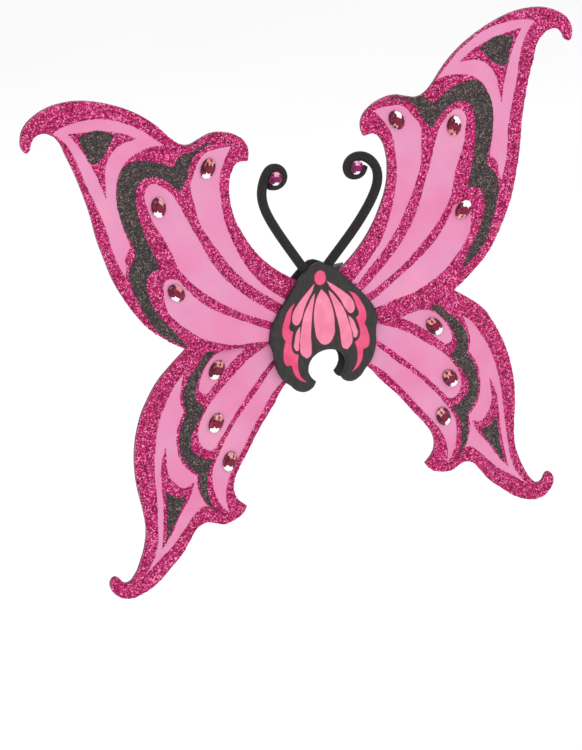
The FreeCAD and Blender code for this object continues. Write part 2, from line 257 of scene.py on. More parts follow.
# The cut edge gets a darker copy of the magenta glitter: painted shade on the foam's side wall.
SHADED_EDGE_GLITTER = glitter("magenta glitter on the cut edge, darkened as painted shade", [(0.0, "#3C001C"), (0.35, "#640836"),
                                                   (0.70, "#94144E"), (1.0, "#CC4488")], 0.5, 1.9)
WING_FINISHES = [PINK, MAGENTA, BLACK, SHADED_EDGE_GLITTER]
PINK_INDEX, MAGENTA_INDEX, BLACK_INDEX, SHADED_EDGE_INDEX = range(4)
print("wing finishes", [m.name for m in WING_FINISHES])

# %% [markdown]
# ## Cutting flat shapes
# A die cuts flat outlines, and so does Blender's curve fill: a flat curve of several splines fills
# the space between them, and a spline inside another becomes a hole. An outline is a list of runs.
# A run is smooth, and two runs meet in a corner. The filled curve becomes a mesh that lies in the
# XZ plane.

# %% Outline to flat mesh
STEPS_PER_POINT = 9


def add_spline(curve, runs):
    """Add one closed spline to a flat curve. `runs` hold (x, z) points in millimetres."""
    points = []
    for run in runs:
        points += [(x, z, i == 0) for i, (x, z) in enumerate(run[:-1])]
    spline = curve.splines.new("BEZIER")
    spline.bezier_points.add(len(points) - 1)
    spline.use_cyclic_u = True
    spline.resolution_u = STEPS_PER_POINT
    for knot, (x, z, corner) in zip(spline.bezier_points, points):
        knot.co = (x * MM, z * MM, 0)
        knot.handle_left_type = knot.handle_right_type = "VECTOR" if corner else "AUTO"


def flat_mesh(outlines, rough=0.0):
    """A filled bmesh in the XZ plane. `rough` moves each rim point by up to that much."""
    curve = bpy.data.curves.new("outline", "CURVE")
    curve.dimensions = "2D"
    curve.fill_mode = "FRONT"
    for runs in outlines:
        add_spline(curve, runs)
    holder = bpy.data.objects.new("outline", curve)
    bpy.context.scene.collection.objects.link(holder)
    bpy.context.view_layer.update()
    mesh = bpy.data.meshes.new_from_object(holder)
    bpy.data.objects.remove(holder)
    mesh.transform(Matrix.Rotation(math.pi / 2, 4, "X"))
    made = bmesh.new()
    made.from_mesh(mesh)
    bpy.data.meshes.remove(mesh)
    bmesh.ops.remove_doubles(made, verts=made.verts, dist=0.02 * MM)
    for v in made.verts:
        v.co.x += chance.uniform(-rough, rough)
        v.co.z += chance.uniform(-rough, rough)
    return made


def mirrored(runs):
    """The same closed outline on the other side of the middle line."""
    return [[(-x, z) for x, z in reversed(run)] for run in reversed(runs)]


def raise_layer(made, back, front, face_index, rim_index):
    """Move a flat bmesh to `back` and thicken it to `front`, both depths behind y = 0."""
    bmesh.ops.translate(made, verts=made.verts, vec=(0, -back, 0))
    grown = bmesh.ops.extrude_face_region(made, geom=made.faces[:] + made.edges[:])
    moved = [g for g in grown["geom"] if isinstance(g, bmesh.types.BMVert)]
    bmesh.ops.translate(made, verts=moved, vec=(0, back - front, 0))
    bmesh.ops.recalc_face_normals(made, faces=made.faces)
    for f in made.faces:
        f.material_index = rim_index if abs(f.normal.y) < 0.5 else face_index


def slice_at(made, places, direction):
    """Cut every face at the given distances along a direction, so that it can bend there."""
    for place in places:
        bmesh.ops.bisect_plane(made, geom=made.verts[:] + made.edges[:] + made.faces[:],
                               dist=1e-6, plane_co=Vector(direction) * place,
                               plane_no=direction)


def piece(name, made, finishes, smooth=False):
    """Turn a finished bmesh into a named object with its materials."""
    mesh = bpy.data.meshes.new(name)
    made.to_mesh(mesh)
    made.free()
    for finish in finishes:
        mesh.materials.append(finish)
    thing = bpy.data.objects.new(name, mesh)
    bpy.context.scene.collection.objects.link(thing)
    if smooth:
        mesh.shade_smooth()
    return thing


# %% [markdown]
# ## The wing sheets
# Each pair of wings is one sheet from tip to tip. Half outlines are enough, because the other half
# is the mirror image. The runs start and end on the middle line, under the body, where the two
# halves meet. The inner lobe, the valley and the hooked tip are corners between runs.

# %% Half outlines of the two sheets, in millimetres
UPPER_SHEET = [
    [(0, 41), (12, 43), (22, 52)],
    [(22, 52), (48, 73), (67, 95), (79, 116), (88, 138), (91.5, 160), (91, 175), (87, 190),
     (79, 199), (67, 199)],
    [(67, 199), (65, 209), (68, 220), (77, 229), (90, 235), (106, 237), (120, 233), (131, 230),
     (141, 233), (151, 242), (161, 254), (174, 267), (190, 279), (208, 289), (230, 298),
     (250, 303), (266, 304), (283, 302), (300, 295), (311, 285), (315, 274),
     (314.5, 264.5), (310.5, 260), (306, 263)],
    [(306, 263), (304, 269), (299, 275), (292, 277), (282, 273), (274, 264), (268, 247),
     (262, 230), (255, 205), (249, 178), (245, 151), (239, 126), (232, 101), (222, 78),
     (210, 56), (197, 38), (183, 25), (168, 13), (156, 5)],
    [(156, 5), (135, -1), (110, -5), (66, -10), (40, -13), (18, -8), (0, -4)],
    [(0, -4), (0, 41)],
]
LOWER_SHEET = [
    [(0, 5), (40, 9), (90, 17), (130, 19), (150, 14), (158, 2)],
    [(158, 2), (175, -11), (191, -26), (205, -49), (215, -72), (222, -97), (225, -125),
     (224, -150), (221, -173), (220, -194), (223, -212), (230, -231), (238, -246),
     (246, -253), (252, -251.5), (255.5, -246)],
    [(255.5, -246), (260, -243.5), (265, -247), (266, -256), (260, -266), (248, -271.5),
     (232, -269), (215, -260), (199, -246), (184, -231.5), (173, -216), (164, -204.5),
     (153, -200), (144, -203),
     (135, -206), (122, -204), (112, -199), (106, -191)],
    [(106, -191), (114, -183), (118.5, -174), (118, -160), (111, -146), (99, -129), (84, -107),
     (66, -85), (47, -61), (32, -52)],
    [(32, -52), (28, -34), (16, -22), (0, -18)],
    [(0, -18), (0, 5)],
]
print("upper points", sum(len(r) for r in UPPER_SHEET), "lower", sum(len(r) for r in LOWER_SHEET))

# %% [markdown]
# ## The print
# Magenta glitter covers the foam except in some windows, where the pink ground shows: three long
# petals, and a forked streak near the tip with a magenta wedge standing in it. A black glitter
# band runs round the petals' ends, and a black triangle sits in the wedge.
# The points are those of the right wing. A print never lands exactly on its die-cut sheet, so each
# wing's print is then laid a little askew by a small table of its own.

# %% Upper print, on the right wing, in millimetres
UPPER_WINDOWS = [
    [[(83, 224), (100, 225.5), (117, 222), (128, 208), (135, 194), (134, 176), (131, 153),
      (124, 135), (112.5, 112.5), (99, 90), (85, 72), (69, 56), (53, 42), (46, 35)],
     [(46, 35), (38.5, 37.5)],
     [(38.5, 37.5), (51, 49), (65, 62.5), (76, 76), (87.5, 97), (95.5, 119), (100, 135),
      (103, 153), (103, 176), (101, 194), (92, 212), (83, 224)]],
    [[(150, 176), (158, 192), (167, 201), (178, 207), (187, 199), (186, 181), (181, 162),
      (174, 147), (168, 131), (162, 110), (149, 90), (135, 74), (117, 58), (99, 44), (81, 33),
      (65, 24), (52, 19)],
     [(52, 19), (47, 25)],
     [(47, 25), (60, 33), (76, 47), (92, 62), (106, 78), (117, 94), (126, 112), (133, 131),
      (140, 147), (150, 176)]],
    [[(165, 99), (178, 101), (183, 83), (181, 67), (172, 53), (160, 40), (147, 28), (131, 19),
      (108, 10), (87, 7), (67, 3), (48, 2)],
     [(48, 2), (48, 11)],
     [(48, 11), (62, 13), (76, 21), (92, 31), (110, 42), (126, 53), (140, 65), (153, 81),
      (165, 99)]],
    [[(157, 243), (168, 254), (181, 266), (197, 277), (217, 286.5), (240, 291), (256, 291),
      (268, 289), (277, 286)],
     [(277, 286), (270, 279), (263, 269), (257, 254), (250, 226), (242, 199), (236, 176),
      (232, 149), (228, 131), (222, 116)],
     [(222, 116), (219.5, 126), (219, 137), (211, 147)],
     [(211, 147), (214, 160), (218, 181), (219, 199), (216, 217), (208, 231), (197, 240),
      (183, 244), (169, 245), (157, 243)]],
]
UPPER_WEDGE = [[(187, 258), (201, 267), (226, 276), (260, 281)],
               [(260, 281), (253, 270), (247, 258), (240, 240), (234, 222), (230, 203)],
               [(230, 203), (228, 222), (226, 235), (217, 249), (206, 256), (187, 258)]]
UPPER_BLACK = [
    [[(101, 233), (112, 233.5), (122, 230.5), (131, 228), (139, 228.5), (145, 225), (152, 218)],
     [(152, 218), (162, 224), (178, 232), (192, 235), (206, 232), (215, 217), (219, 199),
      (218, 181), (214, 162), (209, 149), (207, 137)],
     [(207, 137), (212, 131), (217, 122), (218, 108), (214, 92), (208, 74), (201, 58), (190, 42),
      (176, 31), (166, 23)],
     [(166, 23), (176, 42), (187, 58), (195, 74), (200, 90), (200, 103), (197, 111), (190, 115),
      (182, 116)],
     [(182, 116), (187, 131), (191, 144), (195, 162), (198, 181), (197, 199), (192, 210),
      (180, 215), (167, 210), (156, 201), (148, 191)],
     [(148, 191), (142, 198), (137, 205), (133, 215), (126, 224), (114, 230), (101, 233)]],
    [[(210, 268), (228, 277), (251, 275)],
     [(251, 275), (244, 256), (240, 245), (234, 244), (224, 251), (217, 259), (210, 268)]],
]

# %% Lower print, in millimetres
LOWER_WINDOWS = [
    [[(92, -9), (105, -6.5), (118, -6), (131, -11), (142, -23), (148.5, -37), (149, -45),
      (143, -50), (134, -44), (119, -29), (104, -17), (92, -9)]],
    [[(58, -7), (80, -17), (98, -27), (117, -42), (134, -56), (148, -74), (155, -90),
      (155, -103), (149, -112), (140, -114), (132, -105), (120, -90), (100, -67), (80, -46),
      (54, -22)],
     [(54, -22), (58, -7)]],
    [[(52, -28), (60, -34), (80, -55), (100, -75), (120, -98), (135, -120), (144, -138),
      (145, -157), (141, -173), (135, -184), (130, -189)],
     [(130, -189), (132, -173), (129, -157), (120, -140), (104, -117), (82, -86), (66, -66),
      (46, -50)],
     [(46, -50), (52, -28)]],
    [[(165, -22), (176, -33), (186, -50), (197, -73), (203, -97), (207, -123), (208, -153),
      (210, -183), (213, -210), (222, -231), (232, -244)],
     [(232, -244), (214, -229), (198, -216), (182, -199), (168, -183), (160, -177),
      (153, -177)],
     [(153, -177), (159, -165), (162, -153), (161, -140)],
     [(161, -140), (167, -135), (177, -120), (180, -100), (176, -80), (168, -65)],
     [(168, -65), (171, -53), (169, -38), (165, -22)]],
]
LOWER_WEDGE = [[(165, -147), (177.5, -151), (187, -143), (193, -130), (193, -115), (192, -101)],
               [(192, -101), (199, -121), (201, -145), (202, -170), (205, -195), (208.5, -216)],
               [(208.5, -216), (196, -200), (184, -180), (171, -161), (165, -147)]]
LOWER_BLACK = [
    [[(126, -4), (136, -4), (148, -16), (158, -26), (166, -40), (168, -54), (165, -65)],
     [(165, -65), (173, -81), (177, -100), (175, -118), (166, -132), (159, -139)],
     [(159, -139), (160, -153), (158, -165), (152, -176), (142, -188)],
     [(142, -188), (148, -178), (151, -164), (151, -150), (148, -136), (142, -126)],
     [(142, -126), (155, -120), (164, -109), (163, -95), (157, -83), (149, -72), (145, -63)],
     [(145, -63), (153, -55), (153, -43), (148, -30), (139, -17), (126, -4)]],
    [[(175.5, -161.5), (186, -160), (197.5, -151)],
     [(197.5, -151), (199, -172), (201, -195), (204, -211)],
     [(204, -211), (190.5, -187), (180.5, -171), (175.5, -161.5)]],
]


# %% Where each print lies on its wing
# For each wing: how far the print slipped along x and z, how far it turned anticlockwise, and how
# much longer it came out below a height that stayed in place.
PRINT_PLACES = {
    ("upper", "left"): ((8.5, 0.0), 2.4, 1.03, 272.0),
    ("upper", "right"): ((0.0, 0.0), 0.7, 1.0, 0.0),
    ("lower", "left"): ((3.0, -1.0), 0.0, 1.02, 0.0),
    ("lower", "right"): ((1.5, -7.0), 0.0, 1.0, 0.0),
}


def placed(runs, level, side_name):
    """Lay a print on one wing: mirror it for the left, stretch it, turn it and let it slip."""
    (slip_x, slip_z), turn, stretch, level_height = PRINT_PLACES[level, side_name]
    if side_name == "left":
        runs = mirrored(runs)
    cos, sin = math.cos(math.radians(turn)), math.sin(math.radians(turn))
    lay = []
    for run in runs:
        tall = [(x, level_height + (z - level_height) * stretch) for x, z in run]
        lay.append([(x * cos - z * sin + slip_x, x * sin + z * cos + slip_z) for x, z in tall])
    return lay


print("windows", len(UPPER_WINDOWS), "upper and", len(LOWER_WINDOWS), "lower")

# %% [markdown]
# ## How worn foam hangs
# The sheets are not glass-flat. The upper wings lean a few degrees forward, towards whoever looks
# at them, and the lower ones curl back or belly out a little. One function gives the bend at any
# place on a wing, and everything that is glued to the wing is bent by the same function, so gems
# and strips stay on the foam.

# %% Bend of a wing at a place
BEND_START = 64 * MM
UPPER_LEAN = 0.042
LEFT_CURL = 0.12
LEFT_CURL_FROM = 70 * MM
RIGHT_BELLY = 6 * MM
RIGHT_CURL = 0.10
RIGHT_CURL_FROM = 110 * MM
BELLY_WIDTH = 130 * MM


def ease(value):
    """A smooth step from 0 to 1."""
    value = min(max(value, 0.0), 1.0)
    return value * value * (3 - 2 * value)


def bend(x, z, level):
    """How far the sheet stands behind its flat place, in metres. Towards the front is negative."""
    out = max(0.0, abs(x) - BEND_START)
    out *= ease(out / (14 * MM))
    if level == "upper":
        return -UPPER_LEAN * out
    below = ease((-8 * MM - z) / (60 * MM))
    if x < 0:
        return below * LEFT_CURL * max(0.0, out - LEFT_CURL_FROM)
    belly = -RIGHT_BELLY * math.sin(math.pi * min(out / BELLY_WIDTH, 1.0))
    return below * (belly + RIGHT_CURL * max(0.0, out - RIGHT_CURL_FROM))


print("upper tip bend in mm", round(bend(0.31, 0.28, "upper") / MM, 1))

# %% [markdown]
# ## Building a wing
# A wing is three layers in one piece: the foam with its glittered edge, the magenta coat with its
# windows, and the black print on top. The coats are fractions of a millimetre thick, so their rims
# catch the light like a real glued coat. Grains of glitter give a ragged rim, so every rim
# point of a coat moves a little. Then the layers are sliced into strips, closely at the fold, and
# bent.

# %% Layer depths and the slices
FOAM_BACK = {"lower": 5 * MM, "upper": 9.5 * MM}
FOAM_DEPTH = 4.5 * MM
COAT = 0.35 * MM
PRINT = 0.25 * MM
GRAIN_RIM = 0.42 * MM
FOLD_SLICES = [x * MM for x in range(54, 82, 2)]
WIDE_SLICES = [x * MM for x in range(90, 312, 12)]
TALL_SLICES = [z * MM for z in range(-250, 300, 25)]


def add_layer(whole, outlines, level, start, stop, face_index, rim_index, rough):
    """Cut, thicken and slice one layer, and add it to the wing."""
    made = flat_mesh(outlines, rough)
    back = FOAM_BACK[level]
    raise_layer(made, back + start, back + stop, face_index, rim_index)
    slice_at(made, [s * x for s in (-1, 1) for x in FOLD_SLICES + WIDE_SLICES], (1, 0, 0))
    slice_at(made, TALL_SLICES, (0, 0, 1))
    mesh = bpy.data.meshes.new("layer")
    made.to_mesh(mesh)
    made.free()
    whole.from_mesh(mesh)
    bpy.data.meshes.remove(mesh)


def keep_flat_place(thing):
    """Store where each point lies before it is bent, for the patterns to read."""
    stored = thing.data.attributes.new(FLAT, "FLOAT_VECTOR", "POINT")
    stored.data.foreach_set("vector", [c for v in thing.data.vertices for c in v.co])


def wing(level, side_name, sheet, windows, wedge, blacks):
    """One printed wing, from under the body to its tip."""
    sign = SIDES[side_name]
    outline = sheet if sign > 0 else mirrored(sheet)
    whole = bmesh.new()
    coat_start = FOAM_DEPTH - COAT
    # The foam's side wall takes the darker edge glitter, which is painted shade.
    add_layer(whole, [outline], level, 0, coat_start, PINK_INDEX, SHADED_EDGE_INDEX, 0.0)
    holes = [placed(w, level, side_name) for w in windows + [wedge]]
    add_layer(whole, [outline] + holes, level, coat_start, FOAM_DEPTH, MAGENTA_INDEX,
              MAGENTA_INDEX, GRAIN_RIM)
    prints = [placed(b, level, side_name) for b in blacks]
    add_layer(whole, prints, level, FOAM_DEPTH, FOAM_DEPTH + PRINT, BLACK_INDEX, BLACK_INDEX,
              GRAIN_RIM)
    thing = piece(f"{level}_wing_{side_name}_printed", whole, WING_FINISHES)
    keep_flat_place(thing)
    for v in thing.data.vertices:
        v.co.y += bend(v.co.x, v.co.z, level)
    thing.data.update()
    return thing


def follow_fold(thing):
    """Bake the piece's placement into its mesh."""
    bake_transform(thing)


PRINTS = {"upper": (UPPER_SHEET, UPPER_WINDOWS, UPPER_WEDGE, UPPER_BLACK),
          "lower": (LOWER_SHEET, LOWER_WINDOWS, LOWER_WEDGE, LOWER_BLACK)}
for level, design in PRINTS.items():
    for side_name in SIDES:
        thing = wing(level, side_name, *design)
        follow_fold(thing)
        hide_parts(f"{level}_wing_{side_name}", f"{level}_sheet_centre")
        print(thing.name, len(thing.data.polygons), "faces")

# %% [markdown]
# ## The body plate
# The body is a thicker, softer foam, cut out and heat-pressed, so its rim is rounded and its front
# crowns a little. The petals on it are printed: a pink field with a thin wine-red line round it.
# Field and line are two thin patches that ride on the crowned front. The crown is worked out from
# how far a point is from the rim, and the patches use the same sum.

# %% Body outline and the petals on it, in millimetres
BODY_OUTLINE = [
    [(0, 70), (12, 65), (24, 55.5), (34, 43.5), (44, 31), (54, 18), (61, 5), (64, -8)],
    [(64, -8), (60.5, -21), (59.5, -35), (56, -47), (50, -57), (44.5, -62)],
    [(44.5, -62), (37, -70), (27, -73), (18, -69.5), (14.5, -64)],
    [(14.5, -64), (20, -57), (22, -49), (18.5, -39), (10, -32.5), (0, -30.5)],
]
TEARDROP = [[(0, 41), (4.5, 35), (8, 28), (11.5, 11), (11.5, -2), (9.5, -15), (0, -23)]]
BODY_PETALS = {
    "long": [[(8, 38), (11, 35), (17, 26), (23, 15), (28, -2), (30.5, -17), (30, -27), (24, -34)],
             [(24, -34), (19, -31), (17.5, -23), (17, -10), (15, 5), (12, 21), (9, 33), (8, 38)]],
    "shoulder": [[(7, 49), (17, 40.5), (27, 31), (34, 22.5), (36.5, 15), (36, 10), (32, 6.5),
                  (26.5, 12), (21.5, 23.5), (15, 34.5), (11, 40), (7, 49)]],
    "small": [[(28.5, 4.5), (33, -1), (36.5, -12), (37.5, -18), (34, -22.5), (31.5, -15),
               (29.5, -5), (28.5, 4.5)]],
}
BODY_BAND = [[(31.5, 32), (39, 26.5), (45.5, 15), (49, 5), (49, -2), (46.5, -9)],
             [(46.5, -9), (49.5, -19), (50.5, -29), (48.5, -36), (42, -38)],
             [(42, -38), (40, -48), (34.5, -56.5), (27, -61)],
             [(27, -61), (33.5, -51.5), (35, -39), (33.5, -27.5)],
             [(33.5, -27.5), (38.5, -24), (40.5, -17), (38.5, -5), (37, 0)],
             [(37, 0), (40.5, 3), (38.5, 14), (36, 24), (31.5, 32)]]
DOT_CENTRE = (0, 54)
DOT_HALVES = (6.5, 8)


def both_sides(half):
    """A symmetric closed outline from its +X half. It is smooth where it crosses the middle."""
    crown, middle, foot = half[0], half[1:-1], half[-1]
    if len(half) == 1:
        return [crown + [(-x, z) for x, z in reversed(crown[1:-1])] + crown[:1]]
    flip = [[(-x, z) for x, z in reversed(run)] for run in half]
    return ([flip[0][:-1] + crown] + middle + [foot[:-1] + flip[-1]]
            + [run for run in reversed(flip[1:-1])])


def around(centre, halves, count=8):
    """A closed run of points on an ellipse."""
    turns = [2 * math.pi * i / count for i in range(count + 1)]
    return [[(centre[0] + halves[0] * math.cos(a), centre[1] + halves[1] * math.sin(a))
             for a in turns]]


def grown(runs, by):
    """An outline pushed outwards by some millimetres, from its own middle line."""
    loop = [p for run in runs for p in run[:-1]]
    area = sum(a[0] * b[1] - b[0] * a[1] for a, b in zip(loop, loop[1:] + loop[:1]))
    turn = 1 if area > 0 else -1
    place = {}
    for before, here, after in zip(loop[-1:] + loop[:-1], loop, loop[1:] + loop[:1]):
        along = Vector((after[0] - before[0], after[1] - before[1])).normalized()
        place[here] = (here[0] + turn * along.y * by, here[1] - turn * along.x * by)
    return [[place[p] for p in run] for run in runs]


# %% [markdown]
# ## Finishes of the body
# Black EVA that has been printed and pressed looks charcoal: matt, with short brushed streaks and
# fine wrinkles that catch a little light, and darker where it rolls over at the rim.

# %% Charcoal foam and body inks
def charcoal_foam():
    material, tree, surface = finish_named("pressed charcoal EVA foam", "#211E1D", Roughness=0.6)
    place = add(tree, "ShaderNodeTexCoord").outputs["Object"]
    turned = add(tree, "ShaderNodeMapping", {"Vector": place, "Rotation": (0, 0.6, 0),
                                             "Scale": (1.0, 1.0, 0.35)})
    streaks = add(tree, "ShaderNodeTexNoise", {"Vector": turned.outputs[0], "Scale": 260.0,
                                               "Detail": 5.0, "Roughness": 0.65})
    colour = ramp(tree, streaks.outputs["Fac"],
                  [(0.30, "#161413"), (0.50, "#211E1D"), (0.66, "#2E2B2A"), (0.80, "#464341")])
    tree.links.new(colour, surface.inputs["Base Color"])
    wrinkles = add(tree, "ShaderNodeTexNoise", {"Vector": turned.outputs[0], "Scale": 150.0,
                                                "Detail": 4.0, "Distortion": 0.6})
    bumpy(tree, surface, wrinkles.outputs["Fac"], 0.7, 1.2 * MM)
    return material


def body_ink(name, chips):
    """Ink on the pressed foam: a little uneven, with the foam's grain in it."""
    material, tree, surface = finish_named(name, chips[1], Roughness=0.6)
    place = add(tree, "ShaderNodeTexCoord").outputs["Object"]
    patches = add(tree, "ShaderNodeTexNoise", {"Vector": place, "Scale": 70.0, "Detail": 4.0})
    stops = [(0.30 + 0.2 * i, chip) for i, chip in enumerate(chips)]
    tree.links.new(ramp(tree, patches.outputs["Fac"], stops), surface.inputs["Base Color"])
    grain = add(tree, "ShaderNodeTexNoise", {"Vector": place, "Scale": 500.0, "Detail": 3.0})
    bumpy(tree, surface, grain.outputs["Fac"], 0.4, 0.5 * MM)
    return material


CHARCOAL = charcoal_foam()
PETAL_INK = body_ink("pink ink on pressed foam", ["#E6769A", "#EC7F9E", "#F48FAE"])
HOT_INK = body_ink("hot pink ink on pressed foam", ["#DC3C6E", "#E44C78", "#EC5E86"])
LINE_INK = body_ink("wine-red ink on pressed foam", ["#3C0E1E", "#5C1A34", "#742444"])

# %% Crown of the body front
BODY_BACK = 14 * MM
BODY_FRONT = 20 * MM
ROLL = 4.5 * MM
RIM_DROP = 3.0 * MM
SWELL = 0.8 * MM

body_flat = flat_mesh([both_sides(BODY_OUTLINE)])
rim_points = [v.co.copy() for v in body_flat.verts]
rim_tree = kdtree.KDTree(len(rim_points))
for i, point in enumerate(rim_points):
    rim_tree.insert(point, i)
rim_tree.balance()


def front_of_body(x, z):
    """Depth of the crowned front at a place: it rolls off near the rim."""
    gap = rim_tree.find(Vector((x, 0, z)))[2]
    near = max(0.0, 1 - gap / ROLL)
    ripple = 0.25 * MM * math.sin(x / (5 * MM)) * math.sin(z / (7 * MM) + 1.0)
    return BODY_FRONT - RIM_DROP * near ** 2.2 - SWELL * (1 - min(gap / (22 * MM), 1.0)) + ripple


def fine_grid(made, low, high, pitch):
    """Slice a flat mesh in both directions so that it can take a crown."""
    steps = [low + i * pitch for i in range(int((high - low) / pitch) + 1)]
    slice_at(made, steps, (1, 0, 0))
    slice_at(made, steps, (0, 0, 1))


def crowned(made, lift):
    """Drape a thin patch over the crowned front, `lift` above it."""
    fine_grid(made, -75 * MM, 75 * MM, 3 * MM)
    grown_part = bmesh.ops.extrude_face_region(made, geom=made.faces[:] + made.edges[:])
    front = [g for g in grown_part["geom"] if isinstance(g, bmesh.types.BMVert)]
    fronts = set(front)
    for v in made.verts:
        depth = front_of_body(v.co.x, v.co.z)
        v.co.y = -(depth + lift) if v in fronts else -(depth - 0.4 * MM)
    bmesh.ops.recalc_face_normals(made, faces=made.faces)
    return made


# %% Press the body and print its petals
fine_grid(body_flat, -75 * MM, 75 * MM, 2.5 * MM)
thick = bmesh.ops.extrude_face_region(body_flat, geom=body_flat.faces[:] + body_flat.edges[:])
front_points = {g for g in thick["geom"] if isinstance(g, bmesh.types.BMVert)}
for v in body_flat.verts:
    v.co.y = -front_of_body(v.co.x, v.co.z) if v in front_points else -BODY_BACK
bmesh.ops.recalc_face_normals(body_flat, faces=body_flat.faces)
body = piece("body_plate_pressed", body_flat, [CHARCOAL])
for polygon in body.data.polygons:
    polygon.use_smooth = abs(polygon.normal.y) > 0.3
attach(body, "root")
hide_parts("body_plate")


def body_patch(name, runs, lift, ink):
    patch = piece(name, crowned(flat_mesh([runs]), lift), [ink])
    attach(patch, "root")
    return patch


LINE_WIDTH = 1.1
LINE_LIFT = 0.10 * MM
FIELD_LIFT = 0.22 * MM
fields = {"teardrop": (both_sides(TEARDROP), PETAL_INK),
          "dot": (around(DOT_CENTRE, DOT_HALVES), HOT_INK)}
for name, runs in list(BODY_PETALS.items()) + [("band", BODY_BAND)]:
    ink = HOT_INK if name == "band" else PETAL_INK
    fields[f"petal_{name}_right"] = (runs, ink)
    fields[f"petal_{name}_left"] = (mirrored(runs), ink)
for name, (runs, ink) in fields.items():
    body_patch(f"body_{name}_line", grown(runs, LINE_WIDTH), LINE_LIFT, LINE_INK)
    body_patch(f"body_{name}", runs, FIELD_LIFT, ink)
print("body printed with", len(fields), "fields")

# %% [markdown]
# ## Felt, board, wire and elastic
# The wearer's side is needled felt: short fibres in every direction, no weave, and no shine. The
# strips over the wing wires are the same felt. The board inside is pressed fibre, the wires are
# annealed steel with faint drawing lines, and the loops are woven elastic with ribs along them.

# %% Finishes of the hidden side
def needled_felt(name, chips, place_from_mesh=False):
    material, tree, surface = finish_named(name, chips[1], Roughness=0.95)
    surface.inputs["Sheen Weight"].default_value = 0.35
    surface.inputs["Sheen Roughness"].default_value = 0.5
    if place_from_mesh:
        place = add(tree, "ShaderNodeAttribute", attribute_name=FLAT).outputs["Vector"]
    else:
        place = add(tree, "ShaderNodeTexCoord").outputs["Object"]
    # Fibres are 0.03 mm thick; the tangle is drawn at about 0.8 mm.
    fibres = add(tree, "ShaderNodeTexNoise", {"Vector": place, "Scale": 900.0, "Detail": 6.0,
                                              "Roughness": 0.7, "Distortion": 1.5})
    clumps = add(tree, "ShaderNodeTexNoise", {"Vector": place, "Scale": 120.0, "Detail": 3.0})
    both = add(tree, "ShaderNodeMath", {0: fibres.outputs["Fac"], 1: clumps.outputs["Fac"]},
               operation="MULTIPLY")
    colour = ramp(tree, both.outputs[0], [(0.12, chips[0]), (0.24, chips[1]), (0.40, chips[2])])
    tree.links.new(colour, surface.inputs["Base Color"])
    bumpy(tree, surface, both.outputs[0], 0.8, 0.8 * MM)
    return material


def fibre_board():
    material, tree, surface = finish_named("pressed fibre board", "#5A5148", Roughness=0.85)
    place = add(tree, "ShaderNodeTexCoord").outputs["Object"]
    chips = add(tree, "ShaderNodeTexNoise", {"Vector": place, "Scale": 400.0, "Detail": 5.0})
    tree.links.new(ramp(tree, chips.outputs["Fac"], [(0.35, "#4A423A"), (0.65, "#6C6258")]),
                   surface.inputs["Base Color"])
    bumpy(tree, surface, chips.outputs["Fac"], 0.4, 0.3 * MM)
    return material


def drawn_wire():
    material, tree, surface = finish_named("annealed steel wire", "#8C8A88", Metallic=1.0,
                                           Roughness=0.38)
    place = add(tree, "ShaderNodeTexCoord").outputs["Object"]
    lines = add(tree, "ShaderNodeTexNoise", {"Vector": place, "Scale": 700.0, "Detail": 4.0})
    tree.links.new(ramp(tree, lines.outputs["Fac"], [(0.35, "#6E6C6A"), (0.65, "#A8A6A4")]),
                   surface.inputs["Base Color"])
    rough = add(tree, "ShaderNodeMapRange", {"Value": lines.outputs["Fac"], "To Min": 0.28,
                                             "To Max": 0.5})
    tree.links.new(rough.outputs[0], surface.inputs["Roughness"])
    return material


def matt_sleeve():
    material, tree, surface = finish_named("black foam sleeve", "#1D1A19", Roughness=0.9)
    place = add(tree, "ShaderNodeTexCoord").outputs["Object"]
    cells = add(tree, "ShaderNodeTexNoise", {"Vector": place, "Scale": 700.0, "Detail": 4.0})
    pinch = add(tree, "ShaderNodeTexNoise", {"Vector": place, "Scale": 120.0, "Detail": 3.0,
                                             "Distortion": 0.8})
    tree.links.new(ramp(tree, cells.outputs["Fac"],
                        [(0.32, "#12100F"), (0.52, "#1D1A19"), (0.70, "#2E2A28")]),
                   surface.inputs["Base Color"])
    both = add(tree, "ShaderNodeMath", {0: pinch.outputs["Fac"], 1: 2.0,
                                        2: cells.outputs["Fac"]}, operation="MULTIPLY_ADD")
    bumpy(tree, surface, both.outputs[0], 0.55, 0.6 * MM)
    return material


def woven_elastic():
    material, tree, surface = finish_named("woven black elastic", "#161515", Roughness=0.7)
    surface.inputs["Sheen Weight"].default_value = 0.2
    place = add(tree, "ShaderNodeAttribute", attribute_name="along_across").outputs["Vector"]
    # Ribs run along the band every 1.5 mm, and the weft crosses them every 1.0 mm.
    ribs = add(tree, "ShaderNodeTexWave", {"Vector": place, "Scale": 1 / (1.5 * MM) / 3.2},
               bands_direction="Y")
    weft = add(tree, "ShaderNodeTexWave", {"Vector": place, "Scale": 1 / (1.0 * MM) / 3.2},
               bands_direction="X")
    knit = add(tree, "ShaderNodeMath", {0: ribs.outputs["Fac"], 1: weft.outputs["Fac"]},
               operation="MULTIPLY")
    tree.links.new(ramp(tree, knit.outputs[0], [(0.0, "#0C0B0B"), (0.6, "#1C1A1A"),
                                                (1.0, "#343030")]), surface.inputs["Base Color"])
    bumpy(tree, surface, knit.outputs[0], 0.8, 0.5 * MM)
    return material


FELT = needled_felt("black needled felt", ["#0E0D0D", "#1C1A1A", "#343131"])
STRIP_FELT = needled_felt("black felt strip", ["#0E0D0D", "#1C1A1A", "#343131"], True)
BOARD = fibre_board()
WIRE = drawn_wire()
SLEEVE = matt_sleeve()
ELASTIC = woven_elastic()

# %% [markdown]
# ## Back cover
# A felt layer of the body's shape closes the back. It was glued on by hand, so it sits a little
# off the foam and shows as a dark edge at one shoulder. Its cut rim is soft, so it is bevelled.

